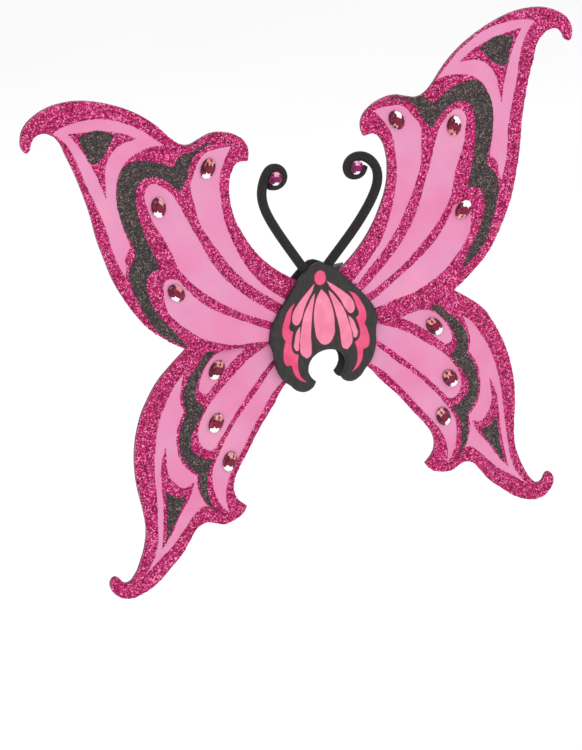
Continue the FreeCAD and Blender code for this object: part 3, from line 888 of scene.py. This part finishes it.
# %% Back cover
COVER_DEPTH = 3 * MM
COVER_OFF = (-2.0, 0.8)
COVER_SHRINK = (0.98, 0.99)


def cover():
    shifted = [[(x * COVER_SHRINK[0] + COVER_OFF[0], z * COVER_SHRINK[1] + COVER_OFF[1])
                for x, z in run] for run in both_sides(BODY_OUTLINE)]
    made = flat_mesh([shifted], 0.15 * MM)
    fine_grid(made, -75 * MM, 75 * MM, 7 * MM)
    raise_layer(made, 0.0, COVER_DEPTH, 0, 0)
    rims = [e for e in made.edges if len(e.link_faces) == 2 and e.calc_face_angle(0) > 1.2]
    bmesh.ops.bevel(made, geom=rims, offset=0.7 * MM, segments=2, profile=0.5, affect="EDGES",
                    material=-1)
    for v in made.verts:
        v.co.y += 0.12 * MM * math.sin(v.co.x / (6 * MM)) * math.cos(v.co.z / (8 * MM))
    return piece("back_cover_felt", made, [FELT])


felt = cover()
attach(felt, "root")
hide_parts("back_cover")

# %% [markdown]
# ## Antennae
# Each antenna is a foam rod with a wire in it, curled by hand, so the two differ. A rod is one
# smooth line with a round section: a NURBS curve whose control points are the bends, with a bevel
# that gives it its thickness. It starts inside the body.

# %% Antenna sleeves
SLEEVE_RADIUS = 5.3 * MM
ANTENNA_DEPTH = 8.5 * MM
BASE_REACH = 18 * MM
ANTENNA_LINES = {
    "left": [(-18.6, 73), (-25.5, 85.5), (-38, 108.5), (-48.5, 130.5), (-53, 146), (-53.3, 158),
             (-50.5, 168.5), (-46, 177.5), (-40.5, 182.8), (-33.5, 182.3), (-28, 177),
             (-27, 170.5), (-31, 164.5), (-39, 162.8), (-44.5, 166)],
    "right": [(25, 73), (48, 95.5), (63, 113), (74, 128.5), (80.5, 142), (81.7, 155),
              (77.5, 165.8), (69.5, 173.8), (60, 176.8), (51.5, 174.3), (46.8, 167.8),
              (47.5, 160.5), (53, 156), (60, 156.3), (64.5, 160.5), (65.5, 165)],
}


def rod(name, points, radius, sides=4):
    """A round rod along a smooth line, with closed ends, as a mesh."""
    curve = bpy.data.curves.new(name, "CURVE")
    curve.dimensions = "3D"
    curve.bevel_depth = radius
    curve.bevel_resolution = sides
    spline = curve.splines.new("NURBS")
    spline.points.add(len(points) - 1)
    for knot, place in zip(spline.points, points):
        knot.co = (*place, 1)
    spline.order_u = 3
    spline.use_endpoint_u = True
    spline.resolution_u = 8
    holder = bpy.data.objects.new(name, curve)
    bpy.context.scene.collection.objects.link(holder)
    bpy.context.view_layer.update()
    mesh = bpy.data.meshes.new_from_object(holder)
    bpy.data.objects.remove(holder)
    made = bmesh.new()
    made.from_mesh(mesh)
    bpy.data.meshes.remove(mesh)
    bmesh.ops.remove_doubles(made, verts=made.verts, dist=0.01 * MM)
    bmesh.ops.holes_fill(made, edges=made.edges[:], sides=0)
    bmesh.ops.recalc_face_normals(made, faces=made.faces)
    return made


def soften_end(made, tip, radius):
    """Round the closed end nearest to a point by bevelling its rim."""
    caps = [f for f in made.faces if len(f.verts) > 4]
    cap = min(caps, key=lambda f: (f.calc_center_median() - Vector(tip)).length)
    bmesh.ops.bevel(made, geom=list(cap.edges), offset=radius * 0.6, segments=4, profile=0.5,
                    affect="EDGES", material=-1)


for side_name, line in ANTENNA_LINES.items():
    points = [Vector((x * MM, -ANTENNA_DEPTH, z * MM)) for x, z in line]
    first = (points[1] - points[0]).normalized()
    route = [points[0] - first * BASE_REACH, points[0] - first * 6 * MM, points[0]] + points[1:]
    made = rod(f"antenna_{side_name}", route, SLEEVE_RADIUS)
    soften_end(made, route[-1], SLEEVE_RADIUS)
    sleeve = piece(f"antenna_sleeve_{side_name}_foam", made, [SLEEVE], smooth=True)
    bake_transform(sleeve)
    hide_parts(f"antenna_sleeve_{side_name}", f"antenna_base_{side_name}")
    print(sleeve.name, len(sleeve.data.polygons), "faces")

# %% [markdown]
# ## Gems
# The gems are cast acrylic with foil behind. Light goes in through one facet and comes back
# through another, so each facet looks its own tone. That light is painted into the base colour:
# most facets are deep ruby with painted shade, one is a painted white highlight and one a painted
# pale salmon reflection, at set angles round the gem. A facet's tone is stored on its face and read
# by the finish. A hard, clear coat on top gives the sharp reflections of cast plastic.

# %% Ruby acrylic
FACET_LIGHT = "facet_painted_light"


def ruby_acrylic(name, chips):
    material, tree, surface = finish_named(name, "#7C0A36", Roughness=0.3)
    surface.inputs["Specular IOR Level"].default_value = 0.25
    surface.inputs["Coat Weight"].default_value = 0.15
    surface.inputs["Coat Roughness"].default_value = 0.03
    surface.inputs["IOR"].default_value = 1.49
    tone = add(tree, "ShaderNodeAttribute", attribute_name=FACET_LIGHT)
    place = add(tree, "ShaderNodeTexCoord").outputs["Object"]
    depth = add(tree, "ShaderNodeTexNoise", {"Vector": place, "Scale": 260.0, "Detail": 1.0})
    small = add(tree, "ShaderNodeMath", {0: depth.outputs["Fac"], 1: 0.12, 2: -0.06},
                operation="MULTIPLY_ADD")
    whole = add(tree, "ShaderNodeMath", {0: tone.outputs["Fac"], 1: small.outputs[0]},
                operation="ADD")
    colour = ramp(tree, whole.outputs[0], chips)
    tree.links.new(colour, surface.inputs["Base Color"])
    return material


# The ramps' white end is a painted highlight and their pale salmon is a painted reflection; the
# dark and middle stops are the acrylic's own colour with painted shade in it.
RUBY = ruby_acrylic("foil-backed ruby acrylic with painted facet light",
                    [(0.0, "#1E000C"), (0.25, "#520420"), (0.48, "#9C0640"), (0.64, "#CC1660"),
                     (0.76, "#DC9C90"), (0.93, "#FFFFFF")])
PURPLE = ruby_acrylic("foil-backed plum acrylic with painted facet light",
                      [(0.0, "#2C0020"), (0.25, "#640444"), (0.48, "#A00A6C"),
                       (0.64, "#CC1C8C"), (0.76, "#E098BC"), (0.93, "#FFFFFF")])

# %% Cutting a gem
GEM_SIDES = 12
RIM_HEIGHT = 1.2 * MM


def cut_gem(width, length, height):
    """A faceted crown on a straight rim, standing on y = 0 and pointing to -Y."""
    made = bmesh.new()
    bmesh.ops.create_circle(made, segments=GEM_SIDES, radius=1.0, cap_ends=True)
    flat = Matrix.Rotation(math.pi / 2, 4, "X")
    bmesh.ops.transform(made, matrix=flat, verts=made.verts)
    bmesh.ops.scale(made, vec=(width / 2, 1, length / 2), verts=made.verts)
    table = made.faces[:]
    steps = [(RIM_HEIGHT, 1.0, 0.0), (0.55 * height, 0.86, 0.5), (0.86 * height, 0.62, 0.5),
             (height, 0.44, 0.5)]
    reached = 0.0
    size = 1.0
    for depth, share, turn in steps:
        grown_part = bmesh.ops.extrude_face_region(made, geom=table)
        points = [g for g in grown_part["geom"] if isinstance(g, bmesh.types.BMVert)]
        table = [g for g in grown_part["geom"] if isinstance(g, bmesh.types.BMFace)]
        bmesh.ops.translate(made, vec=(0, reached - depth, 0), verts=points)
        scale = share / size
        bmesh.ops.scale(made, vec=(scale, 1, scale), verts=points)
        if turn:
            squeeze = Matrix.Diagonal((2 / width, 1, 2 / length, 1))
            spin = Matrix.Rotation(turn * 2 * math.pi / GEM_SIDES, 4, "Y")
            bmesh.ops.transform(made, matrix=squeeze.inverted() @ spin @ squeeze, verts=points)
        reached = depth
        size = share
    sloped = [f for f in made.faces if len(f.verts) == 4 and f.calc_center_median().y
              < -RIM_HEIGHT]
    bmesh.ops.triangulate(made, faces=sloped)
    bmesh.ops.recalc_face_normals(made, faces=made.faces)
    return made


# Where the painted highlight and the painted salmon reflection lie, in degrees round from the
# highlight, and the tones they take.
PAINTED_HIGHLIGHT_HALF_WIDTH = 34
PAINTED_REFLECTION_FROM, PAINTED_REFLECTION_TO = 150, 176
TABLE_TONE = 0.36
PAINTED_HIGHLIGHT_TONE = 1.0


def tone_facets(made, highlight_angle):
    """Give each facet painted light: a white highlight and a salmon reflection at set angles round
    the gem.
    """
    layer = made.faces.layers.float.new(FACET_LIGHT)
    for f in made.faces:
        middle = f.calc_center_median()
        angle = math.degrees(math.atan2(middle.z, middle.x))
        off = abs((angle - highlight_angle + 180) % 360 - 180)
        # The rim facets are darkest, as painted shade; the table and the other facets take middle
        # tones of painted shade and reflection; one band is the painted white highlight, one the
        # painted salmon.
        if middle.y > -RIM_HEIGHT * 0.9:
            f[layer] = chance.uniform(0.0, 0.12)
        elif len(f.verts) > 4:
            f[layer] = TABLE_TONE
        elif off < PAINTED_HIGHLIGHT_HALF_WIDTH:
            f[layer] = PAINTED_HIGHLIGHT_TONE
        elif PAINTED_REFLECTION_FROM < off < PAINTED_REFLECTION_TO:
            f[layer] = chance.uniform(0.70, 0.80)
        else:
            f[layer] = chance.choice([0.06, 0.16, 0.26, 0.36, 0.48]) + chance.uniform(-0.04, 0.04)


def set_gem(name, body_name, finish, width, length, height, centre, lean, highlight_at, level=None):
    """Cut a gem, turn it, set it on the bent foam, and let it ride on its body."""
    made = cut_gem(width, length, height)
    tone_facets(made, highlight_at)
    x, y, z = centre
    turn = Matrix.Rotation(math.radians(lean), 4, "Y")
    if level:
        step = 2 * MM
        slope_x = (bend(x + step, z, level) - bend(x - step, z, level)) / (2 * step)
        slope_z = (bend(x, z + step, level) - bend(x, z - step, level)) / (2 * step)
        y += bend(x, z, level)
        turn = (Matrix.Rotation(math.atan(slope_x), 4, "Z")
                @ Matrix.Rotation(-math.atan(slope_z), 4, "X") @ turn)
    bmesh.ops.transform(made, matrix=Matrix.Translation((x, y, z)) @ turn, verts=made.verts)
    gem = piece(name + "_cut", made, [finish])
    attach(gem, body_name)
    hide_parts(name)


# %% Set the gems
WING_GEMS = [
    ("gem_upper_inner", "upper", -25.0),
    ("gem_upper_outer", "upper", 6.0),
    ("gem_upper_low", "upper", 38.0),
    ("gem_lower_top", "lower", -38.0),
    ("gem_lower_middle", "lower", -32.0),
    ("gem_lower_bottom", "lower", -18.0),
]
GEM_WIDTH = 16.5 * MM
GEM_LENGTH = 23 * MM
GEM_HEIGHT = 5 * MM
ROUND_GEM = 15.5 * MM
PAINTED_HIGHLIGHT_ANGLES = {"left": -115, "right": -60}

def middle_of(node):
    """The middle of a node's box, seen from the front."""
    low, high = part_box(node)
    return (low[0] + high[0]) / 2, (low[2] + high[2]) / 2


for side_name, sign in SIDES.items():
    for name, level, lean in WING_GEMS:
        x, z = middle_of(f"{name}_{side_name}")
        seat = -(FOAM_BACK[level] + FOAM_DEPTH)
        # Each gem's painted white highlight sits at a set angle round it.
        if name.startswith("gem_upper") and sign > 0:
            highlight_at = 60
        else:
            highlight_at = PAINTED_HIGHLIGHT_ANGLES[side_name]
        set_gem(f"{name}_{side_name}", f"wing_{side_name}", RUBY, GEM_WIDTH, GEM_LENGTH,
                GEM_HEIGHT, (x, seat, z), sign * lean, highlight_at + sign * lean, level)
    x, z = middle_of(f"gem_antenna_{side_name}")
    seat = -(ANTENNA_DEPTH + SLEEVE_RADIUS - 0.1 * MM)
    set_gem(f"gem_antenna_{side_name}", f"antenna_{side_name}", PURPLE, ROUND_GEM, ROUND_GEM,
            GEM_HEIGHT, (x, seat, z), 0.0, -100)
print("gems set:", 2 * len(WING_GEMS) + 2)

# %% [markdown]
# ## Wing wires and their felt strips
# A wire runs along the back of each wing, and a felt strip glued over it holds it down. The strip
# lies flat at its edges and swells over the wire, so its section is a low hump. Both are bent with
# the foam.

# %% Wires and strips
WIRE_LINES = {"upper": ((75, 47), (226, 250)), "lower": ((74, -33), (188, -189))}
WIRE_RADIUS = 1 * MM
WIRE_LIFT = 0.3 * MM
STRIP_WIDTH = 12 * MM
STRIP_RIM = 1.0 * MM
STRIP_HUMP = 2.7 * MM
STRIP_CUTS = 30
STRIP_ROWS = 12


def along_wing(made, level, sign):
    """Turn a piece that lies along +X at the origin onto a wing's wire line, and bend it."""
    (x0, z0), (x1, z1) = WIRE_LINES[level]
    start = Vector((sign * x0 * MM, -FOAM_BACK[level], z0 * MM))
    run = Vector((sign * (x1 - x0) * MM, 0, (z1 - z0) * MM)).normalized()
    across = Vector((0, 1, 0)).cross(run)
    turn = Matrix((run, Vector((0, 1, 0)), -across)).transposed().to_4x4()
    bmesh.ops.transform(made, matrix=Matrix.Translation(start) @ turn, verts=made.verts)
    bmesh.ops.recalc_face_normals(made, faces=made.faces)


def line_length(level):
    (x0, z0), (x1, z1) = WIRE_LINES[level]
    return math.hypot(x1 - x0, z1 - z0) * MM


def felt_strip(level, sign):
    """A strip whose section is a low hump, with its flat side on the foam."""
    length = line_length(level)
    made = bmesh.new()
    bmesh.ops.create_grid(made, x_segments=STRIP_CUTS, y_segments=STRIP_ROWS, size=0.5)
    for v in made.verts:
        across = v.co.y * 2
        hump = STRIP_RIM + (STRIP_HUMP - STRIP_RIM) * math.exp(-(across / 0.42) ** 2)
        edge = 1 - 0.35 * max(0.0, abs(across) - 0.8) / 0.2
        wave = 0.25 * MM * math.sin(v.co.x * 40)
        v.co = Vector(((v.co.x + 0.5) * length, hump * edge, v.co.y * STRIP_WIDTH + wave))
    rims = bmesh.ops.extrude_face_region(made, geom=made.faces[:] + made.edges[:])
    for g in rims["geom"]:
        if isinstance(g, bmesh.types.BMVert):
            g.co.y = 0.02 * MM
    along_wing(made, level, sign)
    return made


def straight_wire(level, sign):
    length = line_length(level)
    made = bmesh.new()
    bmesh.ops.create_cone(made, segments=12, radius1=WIRE_RADIUS, radius2=WIRE_RADIUS,
                          depth=length, cap_ends=True)
    lay = Matrix.Translation((length / 2, WIRE_LIFT + WIRE_RADIUS, 0)) @ Matrix.Rotation(
        math.pi / 2, 4, "Y")
    bmesh.ops.transform(made, matrix=lay, verts=made.verts)
    slice_at(made, [length * i / STRIP_CUTS for i in range(1, STRIP_CUTS)], (1, 0, 0))
    along_wing(made, level, sign)
    return made


for level in WIRE_LINES:
    for side_name, sign in SIDES.items():
        strip = piece(f"{level}_wire_strip_{side_name}", felt_strip(level, sign), [STRIP_FELT])
        keep_flat_place(strip)
        wire = piece(f"{level}_wire_{side_name}_bent", straight_wire(level, sign), [WIRE], True)
        for thing in (strip, wire):
            for v in thing.data.vertices:
                v.co.y += bend(v.co.x, v.co.z, level)
            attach(thing, f"wing_{side_name}")
        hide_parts(f"{level}_wire_tape_{side_name}")
        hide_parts(f"{level}_wire_{side_name}")
print("strip lengths in mm", [round(line_length(level) / MM) for level in WIRE_LINES])

# %% [markdown]
# ## Shoulder loops
# Each loop is a flat woven elastic band, 12 mm wide, stitched to the felt at both ends and slack
# between. Its line is a NURBS curve through the air behind the body. A grid is laid along that
# line, flat on the felt at the ends, and thickened.

# %% Elastic loops
STRAP_X = 30
STRAP_WIDTH = 12 * MM
STRAP_THICK = 1.4 * MM
SPLAY = math.radians(20)
STRAP_LINE = [(0, 28), (0, 44), (7, 52), (22, 50), (44, 41), (63, 24), (74, 0), (75, -26),
              (64, -48), (44, -60), (22, -64), (6, -62), (0, -52), (0, -30)]


def smooth_line(points, steps=10):
    """Points read along a NURBS line through the control points."""
    curve = bpy.data.curves.new("line", "CURVE")
    curve.dimensions = "3D"
    spline = curve.splines.new("NURBS")
    spline.points.add(len(points) - 1)
    for knot, place in zip(spline.points, points):
        knot.co = (*place, 1)
    spline.order_u = 3
    spline.use_endpoint_u = True
    spline.resolution_u = steps
    holder = bpy.data.objects.new("line", curve)
    bpy.context.scene.collection.objects.link(holder)
    bpy.context.view_layer.update()
    mesh = bpy.data.meshes.new_from_object(holder)
    bpy.data.objects.remove(holder)
    found = [v.co.copy() for v in mesh.vertices]
    bpy.data.meshes.remove(mesh)
    return found


def elastic_loop(side_name):
    sign = SIDES[side_name]
    route = []
    for out, z in STRAP_LINE:
        x = sign * (STRAP_X * MM + out * MM * math.sin(SPLAY))
        route.append(Vector((x, STRAP_THICK / 2 + out * MM * math.cos(SPLAY), z * MM)))
    line = smooth_line(route)
    count = len(line)
    made = bmesh.new()
    bmesh.ops.create_grid(made, x_segments=count - 1, y_segments=8, size=0.5)
    stored = made.verts.layers.float_vector.new("along_across")
    facing = made.verts.layers.float_vector.new("facing")
    reach = [0.0]
    for a, b in zip(line, line[1:]):
        reach.append(reach[-1] + (b - a).length)
    for v in made.verts:
        step = round((v.co.x + 0.5) * (count - 1))
        share = v.co.y * 2
        tangent = (line[min(step + 1, count - 1)] - line[max(step - 1, 0)]).normalized()
        wide = (Vector((1, 0, 0)) - tangent * tangent.x).normalized()
        v[stored] = (reach[step], share * STRAP_WIDTH / 2, 0)
        v[facing] = tangent.cross(wide)
        v.co = line[step] + wide * share * STRAP_WIDTH / 2 - v[facing] * STRAP_THICK / 2
    doubled = bmesh.ops.extrude_face_region(made, geom=made.faces[:] + made.edges[:])
    for g in doubled["geom"]:
        if isinstance(g, bmesh.types.BMVert):
            g.co += g[facing] * STRAP_THICK
    bmesh.ops.recalc_face_normals(made, faces=made.faces)
    print(side_name, "loop", round(reach[-1] / MM), "mm of band")
    return piece(f"strap_{side_name}_elastic", made, [ELASTIC]), reach[-1]


for side_name in SIDES:
    loop, band = elastic_loop(side_name)
    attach(loop, "root")
    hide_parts(f"strap_{side_name}")

# %% [markdown]
# ## Stitching
# Two bars of thread cross each end of each band. A bar is a row of short slanted stitches, close
# together, each a small rounded thread that dips into the elastic at its ends.

# %% Stitched bars
STITCHED_HEIGHTS = (34.0, -38.0)
STITCH_PITCH = 8.0
STITCHES = 9


def polyester_thread():
    material, tree, surface = finish_named("black polyester thread", "#1A1818", Roughness=0.45)
    place = add(tree, "ShaderNodeTexCoord").outputs["Object"]
    twist = add(tree, "ShaderNodeTexWave", {"Vector": place, "Scale": 500.0, "Distortion": 2.0},
                bands_direction="DIAGONAL")
    tree.links.new(ramp(tree, twist.outputs["Fac"], [(0.0, "#100F0F"), (1.0, "#3A3636")]),
                   surface.inputs["Base Color"])
    bumpy(tree, surface, twist.outputs["Fac"], 0.5, 0.2 * MM)
    return material


def stitches():
    made = bmesh.new()
    for sign in SIDES.values():
        for height in STITCHED_HEIGHTS:
            for step in (-0.5, 0.5):
                for i in range(STITCHES):
                    x = sign * STRAP_X + (i - (STITCHES - 1) / 2) * 9.0 / STITCHES
                    place = Matrix.Translation((x * MM, STRAP_THICK + 0.15 * MM,
                                                (height + step * STITCH_PITCH) * MM))
                    slant = Matrix.Rotation(math.radians(24), 4, "Y")
                    size = Matrix.Diagonal((0.42 * MM, 0.34 * MM, 0.95 * MM, 1))
                    bmesh.ops.create_uvsphere(made, u_segments=8, v_segments=6, radius=1.0,
                                              matrix=place @ slant @ size)
    return piece("strap_stitches", made, [polyester_thread()], smooth=True)


sewn = stitches()
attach(sewn, "root")
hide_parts("strap_stitching")

# %% [markdown]
# ## What stays as it was made
# The board and the antenna wires lie inside and already have their true shape. They keep it, and
# only get their finish.

# %% Finishes on the kept pieces
KEPT = {"inner_board": BOARD, "antenna_yoke_wire": WIRE, "antenna_wire_left": WIRE,
        "antenna_wire_right": WIRE}
for name, finish in KEPT.items():
    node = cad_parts[name]
    node.data.materials.clear()
    node.data.materials.append(finish)
print("kept", sorted(KEPT))

# %% [markdown]
# ## Floor and light
# The object is shown in a bright studio: a pale floor well below it, a wide soft light above the
# camera, a weaker one from the right to fill, and a bright room all round, which makes the tilted
# glitter flakes and the cut plastic sparkle without hard shadows; their brightest glints and
# darkest flakes are also painted into their colour.

# %% Floor, lights and world
FLOOR_DROP = 0.45
floor_mesh = bmesh.new()
bmesh.ops.create_circle(floor_mesh, cap_ends=True, segments=64, radius=14.0,
                        matrix=Matrix.Translation((0, 0, cad_box[0].z - FLOOR_DROP)))
pale, floor_tree, floor_surface = finish_named("pale studio floor", "#FAFAFA", Roughness=0.9)
floor_noise = add(floor_tree, "ShaderNodeTexNoise", {
    "Vector": add(floor_tree, "ShaderNodeTexCoord").outputs["Object"], "Scale": 2.0})
floor_tree.links.new(ramp(floor_tree, floor_noise.outputs["Fac"],
                          [(0.3, "#F9F9F9"), (0.7, "#FBFBFB")]),
                     floor_surface.inputs["Base Color"])
floor = piece("floor", floor_mesh, [pale])


def soft_light(name, place, size, power):
    lamp = bpy.data.lights.new(name, "AREA")
    lamp.shape = "DISK"
    lamp.size = size
    lamp.energy = power
    holder = bpy.data.objects.new(name, lamp)
    holder.location = place
    holder.rotation_mode = "QUATERNION"
    holder.rotation_quaternion = (Vector(place) - BODY_POINT).to_track_quat("Z", "Y")
    bpy.context.scene.collection.objects.link(holder)


soft_light("key", (-1.3, -2.2, 2.0), 1.0, 13)
soft_light("fill", (2.2, -1.8, 0.6), 1.2, 5)
soft_light("back", (0.6, 2.4, 1.6), 1.2, 8)

world = bpy.data.worlds.new("bright room")
world.use_nodes = True
sky = world.node_tree.nodes["Background"]
sky.inputs["Color"].default_value = linear("#FFFFFF")
sky.inputs["Strength"].default_value = 0.98
bpy.context.scene.world = world
bpy.context.scene.view_settings.view_transform = "Standard"
